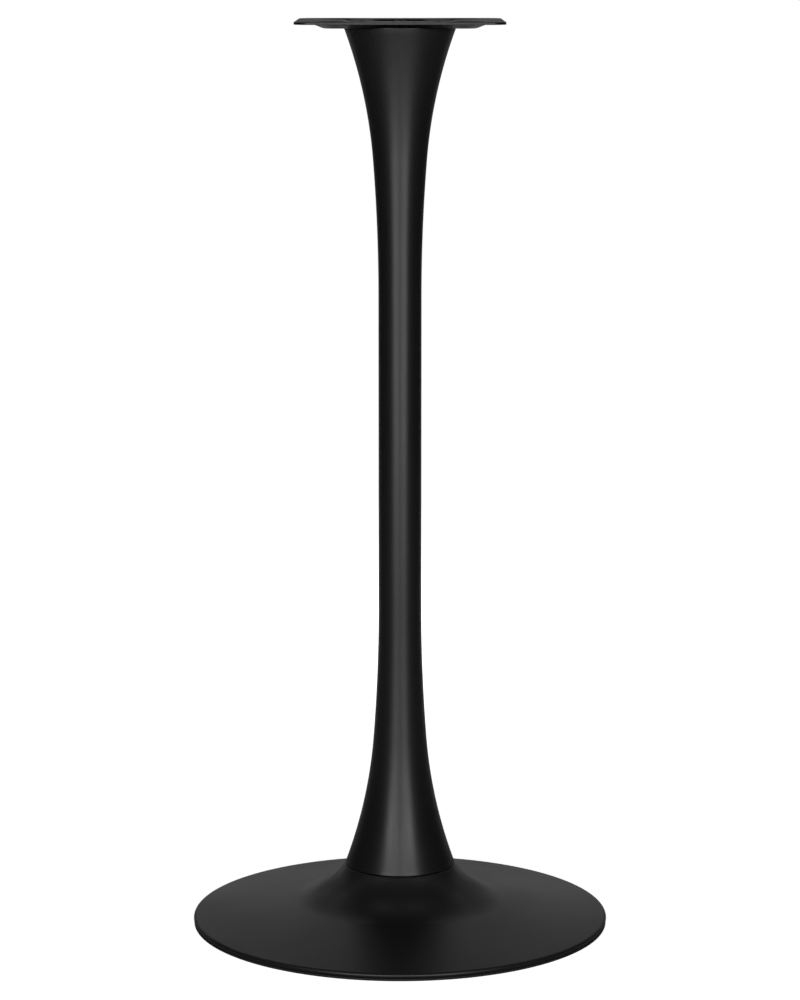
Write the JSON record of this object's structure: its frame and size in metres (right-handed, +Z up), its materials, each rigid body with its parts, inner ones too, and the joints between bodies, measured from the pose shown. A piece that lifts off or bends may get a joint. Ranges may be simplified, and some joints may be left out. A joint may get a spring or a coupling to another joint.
{
  "type": "bar table base",
  "caption": "Tall pedestal base for a bar table: round dished foot, slim column flared like a trumpet at both ends, square pressed top plate.",
  "frame": {"origin": "centre of the round foot, on the floor", "axes": "+Z up along the column towards the top plate; +X and +Y square to the sides of the top plate"},
  "size_m": [0.5, 0.5, 1.086],
  "materials": {
    "powder_coat": "fine matte black powder coat",
    "cast_weight": "rough casting with dark primer",
    "rubber": "smooth black rubber",
    "zinc_steel": "bright zinc plating",
    "black_screw": "black oxide steel"
  },
  "bodies": {
    "root": {"base_cover": "powder_coat", "column": "powder_coat", "top_plate": "powder_coat", "column_foot_plate": "powder_coat", "column_head_plate": "powder_coat", "foot_weld_nuts": "powder_coat", "head_weld_nuts": "powder_coat", "ballast": "cast_weight", "floor_ring": "rubber", "base_bolts": "zinc_steel", "base_washers": "zinc_steel", "base_spring_washers": "zinc_steel", "top_plate_screws": "black_screw"}
  },
  "joints": []
}
